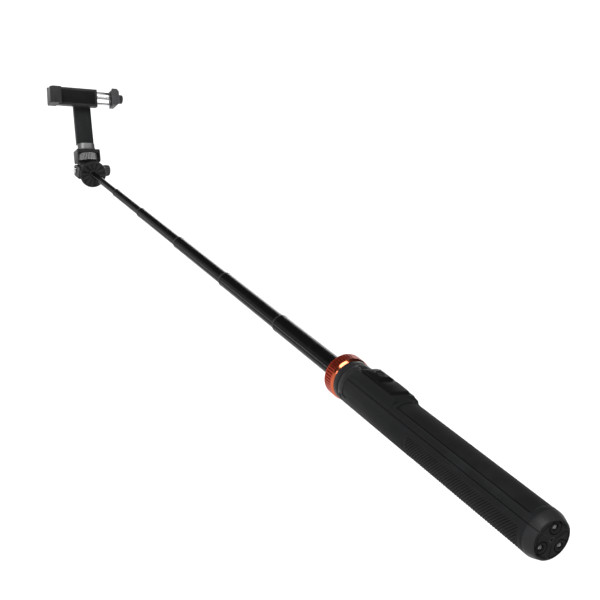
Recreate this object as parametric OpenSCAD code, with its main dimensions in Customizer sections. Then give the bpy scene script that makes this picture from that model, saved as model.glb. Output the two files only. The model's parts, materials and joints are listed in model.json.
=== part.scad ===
// Extendable selfie stick that opens into a table tripod, with a removable remote and a phone clamp.
// Row frame: origin at the middle of the butt end, +X along the stick to the head, +Z to the remote.
// Everything is drawn standing up, with z along the stick, and lay_down() turns it into the row frame.

/* [Handle] */
// Radius of the closed handle
handle_r = 17; // [16:0.5:19]
// Distance from the butt end to the top of the legs
legs_top = 232.5; // [225:0.5:240]
// How far each leg swings out
leg_swing = 26; // [10:1:26]
// Outer radius of the lock ring
ring_r = 18; // [17.5:0.25:20]
// Gap between two closed legs
seam_gap = 0.4; // [0.3:0.1:0.8]

/* [Telescope] */
// Outer radius of the widest tube
tube_r_first = 8.2; // [8.15:0.05:8.2]
// How much smaller each next tube is
tube_r_step = 0.85; // [0.8:0.01:0.86]
// Wall of each tube
tube_wall = 0.5; // [0.4:0.05:0.5]
// Width of the keyway that runs along each tube
keyway_w = 1.6; // [1:0.1:1.8]

/* [Remote] */
// Length of the remote
remote_l = 45; // [42:1:47]
// Width of the remote
remote_w = 16; // [14:0.5:16]
// Height of its top above the stick's axis
remote_top = 21.8; // [20.8:0.1:22.5]

/* [Head] */
// Radius of the round plate under the fork
cap_r = 17; // [15:0.1:17]
// Turn of the head about the stick
head_roll = -3; // [-10:1:10]
// Angle between the stick and the phone's upright direction
head_tilt = 62; // [0:1:100]
// Radius of the thumbwheel
wheel_r = 13; // [11:0.1:13]

/* [Clamp] */
// Distance from the tilt axis to the clamp's own pivot
pivot_up = 95; // [90:1:110]
// Turn of the clamp on its pivot
clamp_lean = 2.3; // [0:0.1:5]
// Width of the gap between the jaws
phone_w = 72; // [60:1:75]
// Height of each jaw
jaw_h = 21.8; // [20:0.1:24]

/* [Hidden] */
$fn = 72;
eps = 0.01;
run = 0.05;            // radial clearance of a running fit
gap = 0.3;             // gap between parts that pass each other

// Where each leg points, seen along the stick
leg_a_at = -30;
leg_b_at = 90;
leg_c_at = 210;

// Handle
bore_r = 9.8;          // inside of the legs
foot_h = 8.6;          // height of the foot caps
pin_r = 0.9;
pin_at = 14.6;         // distance of a leg's hinge pin from the stick's axis
pin_z = legs_top + 2.8;
lug_r = 2.7;
lug_w = 6.2;
collar_z0 = legs_top + 0.3;
collar_z1 = legs_top + 14.7;
ring_z0 = collar_z1 + 0.5;
ring_z1 = collar_z1 + 13.8;
spigot_r = 14.4;
collet_z0 = collar_z1 + 1.8;
collet_z1 = ring_z1 - 2.4;
guide_r = 9.35;
guide_bore = 8.55;
guide_z0 = 20;
guide_z1 = collar_z1 - 1;
grip_depth = 1;
grip_z0 = 13;
grip_top = 145;
grip_half = 48;
panel_z0 = 14;
panel_top = 168.5;
panel_half = 40;
screw_at = 9;

// Telescope
tube_top = [375, 496, 618, 735, 823, 918];
tube_len = [230, 223, 216, 209, 202, 199];
groove_d = 0.28;

// Remote, in the dock of leg b
remote_z0 = 181;
remote_z1 = remote_z0 + remote_l;
remote_y0 = 12.8;
remote_y1 = 16;
dock_w = 19.2;
dock_foot_w = 25.2;     // width of the dock where it meets the handle
dock_top = 17.7;
dock_z0 = 177.5;
notch_z = remote_z0 + 19.5;
notch_w = 6.4;
button_z = remote_z0 + 31;
button_r = 3.6;

// Head, in the head's own frame: x right, y away from the viewer, z up the phone
tilt_z = 935;          // tilt axis, from the butt end
cap_z0 = 914;
cap_z1 = 919;
ear_r = 7.2;
ear_x0 = 12.4;
ear_x1 = 17.5;
bolt_r = 2.5;
cage_w = 30;
cage_top = 26.6;
window_z0 = 11.6;
window_z1 = 21.4;
wall_x = wheel_r + 0.4;
stud_r = 3.175;
neck_w = 22.2;
neck_y0 = -6.5;
neck_y1 = 7.5;
spine_y0 = 1.2;
neck_z0 = cage_top + gap;
ledge_z = 35;

// Clamp, in its own frame with the pivot at its origin
gap_x0 = -phone_w / 2 + 1;   // inner face of the fixed jaw
gap_x1 = phone_w / 2 + 1;    // inner face of the moving jaw
fixed_z = -1;          // middle of the fixed jaw
moving_z = 1.4;        // middle of the moving jaw
jaw_out = 10.8;        // how far the fixed jaw reaches past the phone's side
jaw_t = 8.7;           // thickness of the moving jaw
jaw_front = -18;       // front of the jaws, y
phone_y = -8;          // back of the phone
lip = 3;
lip_t = 1.6;
body_y0 = -7.6;
body_y1 = -0.7;
cover_y1 = 0.9;
body_x1 = 18.5;
body_z0 = -10.5;
body_z1 = 12.5;
screw_y = -4.6;
screw_z = 2.4;
screw_r = 2;
rod_r = 1.6;
rod_z = [-5.8, 8.6];
rivet_r = 4;
rivet_head = 7;

function tube_r(i) = tube_r_first - tube_r_step * i;
function tube_bore(i) = tube_r(i) - tube_wall;
function outer_bore(i) = i == 0 ? guide_bore : tube_bore(i - 1);

// Frames
module lay_down() {
    multmatrix([[0, 0, 1, 0], [1, 0, 0, 0], [0, 1, 0, 0], [0, 0, 0, 1]]) children();
}
module at_leg(at) { lay_down() rotate([0, 0, at]) children(); }
module at_fork() { lay_down() rotate([0, 0, head_roll]) translate([0, 0, tilt_z]) children(); }
module at_head() { at_fork() rotate([-head_tilt, 0, 0]) rotate([0, 0, 180]) children(); }
module at_clamp() { at_head() translate([0, 0, pivot_up]) rotate([0, clamp_lean, 0]) children(); }

// Cylinders that lie along x and along y
module rod_x(r, x0, x1) { translate([x0, 0, 0]) rotate([0, 90, 0]) cylinder(r = r, h = x1 - x0); }
module rod_y(r, y0, y1) { translate([0, y0, 0]) rotate([-90, 0, 0]) cylinder(r = r, h = y1 - y0); }
module block(x0, x1, y0, y1, z0, z1) { translate([x0, y0, z0]) cube([x1 - x0, y1 - y0, z1 - z0]); }

// Third of the handle: a wedge about +x, kept back from both seams
module wedge(r, half, back) {
    apex = back / sin(half);
    far = 2 * r;
    translate([apex, 0])
        polygon([[0, 0], [far * cos(half), -far * sin(half)], [2 * far, 0], [far * cos(half), far * sin(half)]]);
}
module sector(r0, r1, half, back) {
    intersection() {
        difference() {
            circle(r1);
            if (r0 > 0) circle(r0);
        }
        wedge(r1, half, back);
    }
}

// Handle pieces on the stick's axis
module collar() {
    color("#202123") lay_down() difference() {
        union() {
            translate([0, 0, collar_z0]) cylinder(r = handle_r, h = collar_z1 - collar_z0);
            cylinder_between(spigot_r, collar_z1 - 1, ring_z1 - 4);
        }
        cylinder_between(guide_r + 0.01, collar_z0 - 1, guide_z1);
        cylinder_between(tube_r_first + 0.2, collar_z0, collet_z0 + 1);
        cylinder_between(12.1, collet_z0 - 0.1, ring_z1);
        groove_ring(handle_r - 0.7, handle_r + 1, legs_top + 7.6, legs_top + 8.8);
        for (at = [leg_a_at, leg_b_at, leg_c_at]) rotate([0, 0, at]) {
            block(11, handle_r + 3, -lug_w / 2 - gap, lug_w / 2 + gap, collar_z0 - 1, pin_z + lug_r + 0.5);
            translate([pin_at, 0, pin_z]) rod_y(pin_r + 0.01, -6.1, 6.1);
        }
    }
}
module cylinder_between(r, z0, z1) { translate([0, 0, z0]) cylinder(r = r, h = z1 - z0); }
module groove_ring(r0, r1, z0, z1) {
    difference() {
        cylinder_between(r1, z0, z1);
        cylinder_between(r0, z0 - 1, z1 + 1);
    }
}
module guide_tube() {
    color("#3a3c40") lay_down() difference() {
        cylinder_between(guide_r, guide_z0, guide_z1);
        cylinder_between(guide_bore, guide_z0 - 1, guide_z1 + 1);
    }
}
module guide_plug() {
    color("#151515") lay_down() {
        cylinder_between(guide_r, guide_z0 - 3, guide_z0);
        cylinder_between(guide_bore - 0.02, guide_z0 - 1, guide_z0 + 4);
    }
}
module collet() {
    color("#d8d4c8") lay_down() difference() {
        union() {
            cylinder_between(12, collet_z0, collet_z1 - 3);
            translate([0, 0, collet_z1 - 3]) cylinder(r1 = 12, r2 = 10.5, h = 3);
        }
        cylinder_between(tube_r_first + run, collet_z0 - 1, collet_z1 + 1);
        for (k = [0 : 5]) rotate([0, 0, 30 + 60 * k])
            block(6, 14, -0.5, 0.5, collet_z0 + 2, collet_z1 + 1);
    }
}
module lock_ring() {
    color("#d9501f") lay_down() difference() {
        rotate_extrude() polygon([[tube_r_first + 0.5, ring_z1], [tube_r_first + 0.5, ring_z1 - 2],
            [spigot_r + run, ring_z1 - 2], [spigot_r + run, ring_z0], [ring_r - 1.5, ring_z0],
            [ring_r, ring_z0 + 2.2], [ring_r, ring_z1 - 0.6], [ring_r - 0.6, ring_z1]]);
        for (k = [0 : 35]) rotate([0, 0, 10 * k])
            block(ring_r - 0.5, ring_r + 1, -0.35, 0.35, ring_z0 + 3, ring_z1 - 1.2);
    }
}
module hinge_pins() {
    color("silver") for (at = [leg_a_at, leg_b_at, leg_c_at])
        at_leg(at) translate([pin_at, 0, pin_z]) rod_y(pin_r, -6, 6);
}

// Legs
module leg_blank() {
    difference() {
        translate([0, 0, foot_h]) linear_extrude(legs_top - foot_h) sector(bore_r, handle_r, 60, seam_gap / 2);
        translate([pin_at, 0, pin_z]) rotate([0, leg_swing, 0]) block(-30, 30, -30, 30, -2.9, 30);
        translate([0, 0, foot_h + 3]) linear_extrude(150) sector(bore_r + 1.5, handle_r - 2.6, 50, 1);
        for (s = [-1, 1])
            block(handle_r - 2.5, handle_r + 1, s * (lug_w / 2 + 0.6) - 0.6, s * (lug_w / 2 + 0.6) + 0.6,
                legs_top - 5.5, legs_top + 1);
    }
    leg_lug();
}
module leg_lug() {
    difference() {
        intersection() {
            union() {
                translate([pin_at, 0, pin_z]) rod_y(lug_r, -lug_w / 2, lug_w / 2);
                block(pin_at - lug_r, pin_at + lug_r - 0.4, -lug_w / 2, lug_w / 2, legs_top - 6, pin_z);
            }
            cylinder_between(handle_r - 0.1, legs_top - 8, pin_z + 5);
        }
        translate([pin_at, 0, pin_z]) rod_y(pin_r + run, -lug_w, lug_w);
    }
}
module plain_leg(at) {
    color("#242628") at_leg(at) difference() {
        leg_blank();
        translate([0, 0, grip_z0]) linear_extrude(grip_top - grip_z0)
            sector(handle_r - grip_depth, handle_r + 2, grip_half, 0);
    }
}
module plain_grip(at) {
    color("#303335") at_leg(at) translate([0, 0, grip_z0 + 0.1]) linear_extrude(grip_top - grip_z0 - 0.2)
        sector(handle_r - grip_depth, handle_r, grip_half, 0.2);
}
module leg_a() { plain_leg(leg_a_at); }
module leg_c() { plain_leg(leg_c_at); }
module grip_a() { plain_grip(leg_a_at); }
module grip_c() { plain_grip(leg_c_at); }

// Leg b carries the dock: a raised tub with sloping sides, whose front is a ramp
module dock_outline() {
    polygon([[10.5, dock_z0 - 5], [handle_r - 1.2, dock_z0 - 5], [handle_r - 0.4, dock_z0 - 1.5],
        [dock_top, dock_z0], [dock_top, legs_top - 4], [handle_r, legs_top - 1.6], [10.5, legs_top - 1.6]]);
}
module dock() {
    intersection() {
        translate([0, dock_foot_w / 2, 0]) rotate([90, 0, 0]) linear_extrude(dock_foot_w) dock_outline();
        translate([0, 0, dock_z0 - 6]) linear_extrude(legs_top - dock_z0 + 6)
            polygon([[10.5, -dock_foot_w / 2], [11.2, -dock_foot_w / 2], [dock_top, -dock_w / 2],
                [dock_top, dock_w / 2], [11.2, dock_foot_w / 2], [10.5, dock_foot_w / 2]]);
    }
}
module leg_b() {
    color("#242628") at_leg(leg_b_at) difference() {
        union() {
            leg_blank();
            dock();
        }
        block(remote_y0 - 0.3, 30, -remote_w / 2 - 0.3, remote_w / 2 + 0.3, remote_z0 - 0.3, remote_z1 + 0.2);
        translate([pin_at, 0, pin_z]) rotate([0, leg_swing, 0]) block(2.7, 30, -30, 30, -2.9, 30);
        translate([0, 0, panel_z0]) linear_extrude(panel_top - panel_z0)
            sector(handle_r - 1.2, handle_r + 2, panel_half, 0);
    }
}
module grip_b() {
    color("#1a1b1d") at_leg(leg_b_at) translate([0, 0, panel_z0 + 0.1]) linear_extrude(panel_top - panel_z0 - 0.2)
        sector(handle_r - 1.2, handle_r - 0.4, panel_half, 0.2);
}

// Feet
module foot_cap(at) {
    color("#3c3e41") at_leg(at) difference() {
        intersection() {
            rotate_extrude() polygon([[1, 0.8], [handle_r - 2.8, 0.8], [handle_r - 2.2, 1.4],
                [handle_r - 0.2, 7.2], [handle_r, foot_h], [1, foot_h]]);
            translate([0, 0, -1]) linear_extrude(foot_h + 2) sector(0, handle_r + 1, 60, seam_gap / 2);
        }
        translate([0, 0, -1]) linear_extrude(2.9) sector(2, 13.5, 60, 1.4);
        translate([screw_at, 0, 0]) cylinder(r = 2.3, h = 3.5);
        translate([screw_at, 0, 0]) cylinder(r = 1.02, h = foot_h + 1);
    }
}
module foot_pad(at) {
    color("#17181a") at_leg(at) difference() {
        linear_extrude(1.9) sector(2.1, 13.4, 60, 1.5);
        translate([screw_at, 0, -1]) cylinder(r = 2.4, h = 4);
    }
}
module foot_screw(at) {
    color("silver") at_leg(at) translate([screw_at, 0, 0]) difference() {
        union() {
            cylinder_between(2.1, 2, 3.5);
            cylinder_between(1, 3.4, foot_h - 0.2);
        }
        translate([0, 0, 1.5]) cylinder(r = 0.9, h = 1.3, $fn = 6);
    }
}
module foot_cap_a() { foot_cap(leg_a_at); }
module foot_cap_b() { foot_cap(leg_b_at); }
module foot_cap_c() { foot_cap(leg_c_at); }
module foot_pad_a() { foot_pad(leg_a_at); }
module foot_pad_b() { foot_pad(leg_b_at); }
module foot_pad_c() { foot_pad(leg_c_at); }
module foot_screw_a() { foot_screw(leg_a_at); }
module foot_screw_b() { foot_screw(leg_b_at); }
module foot_screw_c() { foot_screw(leg_c_at); }

// Remote: x is across it, y is up out of the dock, z is along the stick
module remote_base() {
    color("#1c1d20") lay_down() difference() {
        block(-remote_w / 2, remote_w / 2, remote_y0, remote_y1, remote_z0, remote_z1);
        block(-remote_w / 2 + 1.2, remote_w / 2 - 1.2, remote_y0 + 1, remote_y1 + 1, remote_z0 + 1.2,
            remote_z1 - 1.2);
        block(-5.6, 5.6, remote_y0 - 1, remote_y0 + 2, remote_z0 + 3, remote_z0 + 18);
    }
}
module battery_door() {
    color("#151618") lay_down()
        block(-5.5, 5.5, remote_y0, remote_y0 + 1, remote_z0 + 3.1, remote_z0 + 17.9);
}
module coin_cell() {
    color("silver") lay_down() translate([0, remote_y0 + 1.1, remote_z0 + 10.5]) rod_y(5, 0, 1.6);
}
module remote_board() {
    color("#1f6b3a") lay_down()
        block(-6.4, 6.4, remote_y0 + 2.8, remote_y0 + 3.6, remote_z0 + 1.5, remote_z1 - 3.6);
}
module remote_outline() {
    n0 = notch_z - notch_w / 2;
    n1 = notch_z + notch_w / 2;
    polygon([[remote_y1, remote_z0], [remote_top - 3.9, remote_z0], [remote_top - 2.6, remote_z0 + 1.6],
        [remote_top - 1.4, n0], [remote_top - 2.3, n0 + 0.8], [remote_top - 2.2, n1 - 0.9],
        [remote_top - 0.1, n1], [remote_top, n1 + 3], [remote_top - 0.2, remote_z1 - 8],
        [remote_top - 1.6, remote_z1 - 3.6], [remote_top - 3.9, remote_z1], [remote_y1, remote_z1]]);
}
module remote_section() {
    hull() {
        translate([-remote_w / 2, remote_y1 - 1]) square([remote_w, 1]);
        for (s = [-1, 1]) translate([s * (remote_w / 2 - 2), remote_top - 3.4]) circle(2);
        for (s = [-1, 1]) translate([s * 3, remote_top - 2]) circle(2);
    }
}
module remote_cover() {
    color("#101113") lay_down() difference() {
        intersection() {
            rotate([0, 0, 90]) translate([0, remote_w / 2, 0]) rotate([90, 0, 0])
                linear_extrude(remote_w) remote_outline();
            translate([0, 0, remote_z0]) linear_extrude(remote_l) remote_section();
        }
        block(-remote_w / 2 + 1.4, remote_w / 2 - 1.4, remote_y1 - 1, remote_top - 4.4, remote_z0 + 1.3,
            remote_z1 - 3.4);
        translate([0, remote_y1, button_z]) rod_y(button_r + 0.1, 0, 10);
    }
}
module shutter_button() {
    color("#c9cacc") lay_down() translate([0, 0, button_z]) {
        rod_y(button_r, remote_top - 1.6, remote_top + 0.2);
        rod_y(1.2, remote_y0 + 4.1, remote_top - 1.5);
    }
}

// Telescope: each tube has a rolled keyway, and its bush is notched for the next tube's key
module tube(i) {
    r = tube_r(i);
    color("#0c0c0d") lay_down() translate([0, 0, tube_top[i] - tube_len[i]]) linear_extrude(tube_len[i])
        difference() {
            circle(r);
            translate([r - groove_d, -keyway_w / 2]) square([1, keyway_w]);
            difference() {
                circle(r - tube_wall);
                translate([r - tube_wall - groove_d, -keyway_w / 2 - 0.3]) square([2, keyway_w + 0.6]);
            }
        }
}
module bush(i) {
    r = outer_bore(i) - run;
    foot = tube_top[i] - tube_len[i];
    color("#e3e0d6") lay_down() difference() {
        union() {
            difference() {
                cylinder_between(r, foot - 4, foot);
                block(r - groove_d - 0.2, r + 1, -keyway_w / 2 - 0.5, keyway_w / 2 + 0.5, foot - 5, foot + 1);
            }
            cylinder_between(tube_bore(i) - groove_d - 0.02, foot - 1, foot + 4);
        }
        cylinder_between(tube_r(i) / 3, foot - 5, foot + 5);
    }
}
module tube_1() { tube(0); }
module tube_2() { tube(1); }
module tube_3() { tube(2); }
module tube_4() { tube(3); }
module tube_5() { tube(4); }
module tube_6() { tube(5); }
module bush_1() { bush(0); }
module bush_2() { bush(1); }
module bush_3() { bush(2); }
module bush_4() { bush(3); }
module bush_5() { bush(4); }
module bush_6() { bush(5); }

// Head
module ear(x0, x1) {
    translate([x0, 0, 0]) rotate([0, 90, 0]) linear_extrude(x1 - x0) {
        circle(ear_r);
        translate([0, -ear_r]) square([tilt_z - cap_z1 + 1, 2 * ear_r]);
    }
}
module head_fork() {
    color("#1b1c1e") at_fork() difference() {
        union() {
            translate([0, 0, cap_z0 - tilt_z]) cylinder(r = cap_r, h = 1.2);
            translate([0, 0, cap_z0 - tilt_z + 1.2]) cylinder(r1 = cap_r, r2 = cap_r - 1, h = 3.8);
            ear(ear_x0, ear_x1);
            ear(-ear_x1, -ear_x0);
        }
        translate([0, 0, cap_z0 - tilt_z - 1]) cylinder(r = tube_r(5) + 0.01, h = 5);
        rod_x(bolt_r + 0.02, -20, 20);
    }
}
module tilt_bolt() {
    color("#e8e8ea") at_fork() {
        rod_x(bolt_r, -19.6, ear_x1 + 0.3);
        rod_x(4.2, ear_x1, ear_x1 + 1.5);
    }
}
module tilt_knob() {
    color("#1b1c1e") at_fork() difference() {
        union() {
            rod_x(5, -20.4, -ear_x1 - 0.3);
            rod_x(7.3, -28, -20.3);
            for (k = [0 : 11]) rotate([30 * k, 0, 0]) translate([0, 7.1, 0]) rod_x(0.7, -27.4, -20.9);
        }
        rod_x(bolt_r + run, -20.1, 0);
    }
}
module tilt_block() {
    color("#1f2022") at_head() difference() {
        union() {
            translate([-cage_w / 2, 0, 0]) rotate([90, 0, 90]) linear_extrude(cage_w)
                polygon([[-7, 10], [7, 10], [9, 12.4], [9, cage_top - 1], [8, cage_top],
                    [-7.6, cage_top], [-9, cage_top - 2.2], [-9, 12.4]]);
            rod_x(ear_r, -ear_x0 + gap, ear_x0 - gap);
            block(-ear_x0 + gap, ear_x0 - gap, -6, 6, 0, 10.5);
        }
        block(-wall_x, wall_x, -20, 20, window_z0, window_z1);
        rod_x(bolt_r + run, -20, 20);
        cylinder_between(stud_r + run, window_z1 - 1, cage_top + 1);
        cylinder_between(2 + run, 7, window_z0 + 1);
    }
}
module thumbwheel() {
    color("#8a8c90") at_head() difference() {
        union() {
            cylinder_between(wheel_r - 0.5, window_z0 + gap, window_z1 - gap);
            for (k = [0 : 29]) rotate([0, 0, 12 * k]) translate([wheel_r - 0.6, 0, 0])
                cylinder_between(0.6, window_z0 + 0.8, window_z1 - 0.8);
            cylinder_between(2, 7.5, window_z0 + 1);
        }
        cylinder_between(stud_r + 0.01, window_z0 + 4, window_z1 + 1);
    }
}
module stud() {
    color("silver") at_head() cylinder_between(stud_r, window_z0 + 4, ledge_z - 1.6);
}
module stadium(grow) {
    r = (neck_y1 - neck_y0) / 2;
    hull() for (s = [-1, 1]) translate([s * (neck_w / 2 - r), (neck_y0 + neck_y1) / 2]) circle(r + grow);
}
module neck() {
    color("#8c8e92") at_head() difference() {
        union() {
            translate([0, 0, neck_z0]) linear_extrude(ledge_z - neck_z0) stadium(0);
            translate([0, 0, neck_z0 + 0.4]) linear_extrude(1.8) stadium(0.7);
        }
        cylinder_between(stud_r + run, neck_z0 - 1, ledge_z - 1);
        block(-8.01, 8.01, 3.59, 6.41, ledge_z - 5, ledge_z + 1);
    }
}
module spine() {
    half = neck_w / 2;
    color("#1f2022") at_head() difference() {
        union() {
            block(-half, half, spine_y0, neck_y1, ledge_z, pivot_up);
            translate([0, 0, pivot_up]) rod_y(half, spine_y0, neck_y1);
            block(-8, 8, 3.6, 6.4, ledge_z - 4.9, ledge_z + 1);
        }
        translate([0, 0, pivot_up]) rod_y(rivet_r + 0.01, 0, 20);
        block(-half + 5, half - 5, spine_y0 + 2.6, neck_y1 + 1, ledge_z + 9, pivot_up - 17);
    }
}
module pivot_rivet() {
    color("silver") at_head() translate([0, 0, pivot_up]) {
        rod_y(rivet_head, body_y1 - 1.6, body_y1 - 0.3);
        rod_y(rivet_r, body_y1 - 0.4, neck_y1 + 0.1);
        rod_y(rivet_r + 2, neck_y1, neck_y1 + 1.6);
    }
}

// Clamp
module clamp_body() {
    out = gap_x0 - jaw_out;
    color("#26272a") at_clamp() difference() {
        union() {
            block(gap_x0 - 1, body_x1, body_y0, body_y1, body_z0, body_z1);
            translate([0, 0, fixed_z - jaw_h / 2]) linear_extrude(jaw_h)
                polygon([[gap_x0, body_y1], [gap_x0, jaw_front + lip_t], [gap_x0 + lip, jaw_front + lip_t],
                    [gap_x0 + lip, jaw_front + 0.5], [gap_x0 + lip - 0.5, jaw_front], [out + 3, jaw_front],
                    [out, jaw_front + 3], [out, body_y1]]);
        }
        for (z = rod_z) translate([0, screw_y, z]) rod_x(rod_r + run, -30, 40);
        translate([0, screw_y, screw_z]) rod_x(screw_r + run, -30, 40);
        rod_y(rivet_head + 0.3, body_y1 - 1.8, 5);
    }
}
module clamp_cover() {
    color("#2e3033") at_clamp() difference() {
        block(gap_x0 - jaw_out, body_x1, body_y1, cover_y1, body_z0, body_z1);
        rod_y(rivet_r + run, -5, 5);
    }
}
module back_pad() {
    color("#121212") at_clamp()
        block(gap_x0 + 4, body_x1 - 3, phone_y, body_y0, body_z0 + 3, body_z1 - 3);
}
module fixed_pad() {
    color("#121212") at_clamp() block(gap_x0, gap_x0 + 0.8, jaw_front + lip_t, body_y0 - 0.6,
        fixed_z - jaw_h / 2 + 2, fixed_z + jaw_h / 2 - 2);
}
module moving_jaw() {
    low = moving_z - jaw_h / 2;
    high = moving_z + jaw_h / 2;
    out = gap_x1 + jaw_t;
    slope = 3.5;
    color("#26272a") at_clamp() difference() {
        intersection() {
            translate([0, 0, low]) linear_extrude(jaw_h)
                polygon([[gap_x1, cover_y1], [gap_x1, jaw_front + lip_t], [gap_x1 - 1.6, jaw_front + lip_t],
                    [gap_x1 - 1.6, jaw_front + 0.4], [gap_x1 - 1.2, jaw_front], [out - 1.5, jaw_front],
                    [out, jaw_front + 1.5], [out, cover_y1]]);
            translate([0, 5, 0]) rotate([90, 0, 0]) linear_extrude(30)
                polygon([[gap_x1 - 5, low], [out - 3.5, low], [out, low + slope], [out, high - slope],
                    [out - 3.5, high], [gap_x1 - 5, high]]);
        }
        for (z = rod_z) translate([0, screw_y, z]) rod_x(rod_r + 0.01, gap_x1 - 5, gap_x1 + 7);
        translate([0, screw_y, screw_z]) rod_x(screw_r + run, gap_x1 - 5, gap_x1 + 20);
    }
}
module moving_pad() {
    color("#121212") at_clamp() block(gap_x1 - 0.8, gap_x1, jaw_front + lip_t, body_y0 - 0.6,
        moving_z - jaw_h / 2 + 2, moving_z + jaw_h / 2 - 2);
}
module guide_rods() {
    color("silver") at_clamp() for (z = rod_z)
        translate([0, screw_y, z]) rod_x(rod_r, -14, gap_x1 + 6.9);
}
module lead_screw() {
    color("silver") at_clamp() translate([0, screw_y, screw_z]) rod_x(screw_r, -14, gap_x1 + 15);
}
module jaw_knob() {
    x0 = gap_x1 + jaw_t + 0.3;
    color("#2b2c2f") at_clamp() translate([0, screw_y, screw_z]) difference() {
        union() {
            rod_x(4, x0, x0 + 1.6);
            rod_x(5.6, x0 + 1.4, x0 + 7.3);
            for (k = [0 : 11]) rotate([30 * k, 0, 0]) translate([0, 5.4, 0]) rod_x(0.6, x0 + 1.9, x0 + 6.8);
        }
        rod_x(screw_r + 0.01, x0 - 1, gap_x1 + 15);
    }
}

collar();
guide_tube();
guide_plug();
collet();
lock_ring();
hinge_pins();
leg_a();
leg_b();
leg_c();
grip_a();
grip_b();
grip_c();
foot_cap_a();
foot_cap_b();
foot_cap_c();
foot_pad_a();
foot_pad_b();
foot_pad_c();
foot_screw_a();
foot_screw_b();
foot_screw_c();
remote_base();
remote_cover();
remote_board();
coin_cell();
battery_door();
shutter_button();
tube_1();
tube_2();
tube_3();
tube_4();
tube_5();
tube_6();
bush_1();
bush_2();
bush_3();
bush_4();
bush_5();
bush_6();
head_fork();
tilt_bolt();
tilt_knob();
tilt_block();
thumbwheel();
stud();
neck();
spine();
pivot_rivet();
clamp_body();
clamp_cover();
back_pad();
fixed_pad();
moving_jaw();
moving_pad();
guide_rods();
lead_screw();
jaw_knob();
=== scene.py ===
# %% [markdown]
# # A selfie stick, dressed over its mechanical frame
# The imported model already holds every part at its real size. This lesson gives each visible part the shape
# and finish of the real one: knurls, ribs, softened edges, anodised tubes and moulded plastic. Everything
# is in metres in the frame's own axes: +X runs along the stick, +Z points to the remote.

# %% Load the frame
import json
import math

import bmesh
import bpy
import numpy as np
from mathutils import Matrix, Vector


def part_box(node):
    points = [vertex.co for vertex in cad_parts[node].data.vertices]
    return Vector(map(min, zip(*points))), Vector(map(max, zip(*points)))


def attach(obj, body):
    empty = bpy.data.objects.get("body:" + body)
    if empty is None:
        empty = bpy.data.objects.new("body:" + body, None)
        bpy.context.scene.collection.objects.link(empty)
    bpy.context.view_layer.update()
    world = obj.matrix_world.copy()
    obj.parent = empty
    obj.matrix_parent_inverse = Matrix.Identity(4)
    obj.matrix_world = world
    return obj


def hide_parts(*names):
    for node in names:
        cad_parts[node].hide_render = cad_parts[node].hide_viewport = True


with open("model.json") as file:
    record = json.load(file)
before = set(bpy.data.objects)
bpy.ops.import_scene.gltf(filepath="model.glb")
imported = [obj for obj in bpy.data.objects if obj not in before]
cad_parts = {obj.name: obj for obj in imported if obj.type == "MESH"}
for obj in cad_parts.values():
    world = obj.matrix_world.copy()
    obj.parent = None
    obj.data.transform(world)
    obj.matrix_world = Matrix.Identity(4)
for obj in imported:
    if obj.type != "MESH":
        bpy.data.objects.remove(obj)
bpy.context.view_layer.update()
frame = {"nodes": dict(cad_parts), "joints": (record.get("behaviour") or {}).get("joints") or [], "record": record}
nodes = frame["nodes"]
joints = {joint["name"]: joint for joint in frame["joints"]}
slot_of = {part["node"]: part["material_slot"] for part in frame["record"]["subparts"]}
body_of = {name: body for body, names in frame["record"]["behaviour"]["bodies"].items() for name in names}
MM = 0.001

# %% [markdown]
# ## Seats
# A part is easiest to describe in its own axes: a knob about its spindle, a leg about the line through its
# middle. A seat is such a set of axes, taken from the joints of the frame, and it turns local millimetres
# into metres. Objects could be placed and turned instead, but the pieces have to keep their place in their
# mesh.


# %% Seats
class Seat:
    """A local frame: an origin in metres and three unit directions, x, y and z, in the frame's axes."""

    def __init__(self, origin, x, y):
        self.origin = np.array(origin, float)
        x = np.array(x, float) / np.linalg.norm(x)
        y = np.array(y, float) - np.dot(y, x) * x
        y /= np.linalg.norm(y)
        self.axes = np.stack([x, y, np.cross(x, y)])

    def place(self, points):
        """Local millimetres to metres in the frame: origin + x*X + y*Y + z*Z."""
        return self.origin + (np.asarray(points, float) * MM) @ self.axes


def joint_axis(name):
    return np.array(joints[name]["axis"], float)


def joint_place(name):
    return np.array(joints[name]["pos_m"], float)


stick = Seat((0, 0, 0), (1, 0, 0), (0, 1, 0))
knob_seat = Seat(joint_place("head_tilt"), -joint_axis("head_tilt"), (1, 0, 0))
wheel_seat = Seat(joint_place("head_tilt"), joint_axis("wheel_spin"), -joint_axis("head_tilt"))
screw_seat = Seat(joint_place("jaw_knob_turn"), joint_axis("jaw_slide"), -joint_axis("clamp_turn"))


def leg_seat(letter):
    """x runs along the stick, y points out through the middle of that leg."""
    out = joint_place(f"leg_{letter}_swing") * (0, 1, 1)
    return Seat((0, 0, 0), (1, 0, 0), out)


def span(node):
    """Where a node lies along the stick, in millimetres."""
    low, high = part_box(node)
    return low.x / MM, high.x / MM


print("seats: the stick, the tilt knob, the thumbwheel, the clamp's screw and one for each leg")

# %% [markdown]
# ## The camera and the light
# The view looks from behind the butt end and a little above it, so the handle is large and the head small.
# The stick is black nearly everywhere, and a black part shows its shape only by soft changes of tone. A sun
# that looks 40 degrees wide gives those and throws no hard shadow. Three lamps add what the sun can't: a
# rim along the tubes, a faint light on the near side, and one on the feet.


# %% Camera
CAMERA_PLACE = (-0.44341, 0.47056, 0.31607)
CAMERA_FORWARD = (0.82146, -0.48812, -0.29485)
CAMERA_UP = (0.33783, 0, 0.94121)
LENS_MM = 67.25
SENSOR_MM = 36.0


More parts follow.
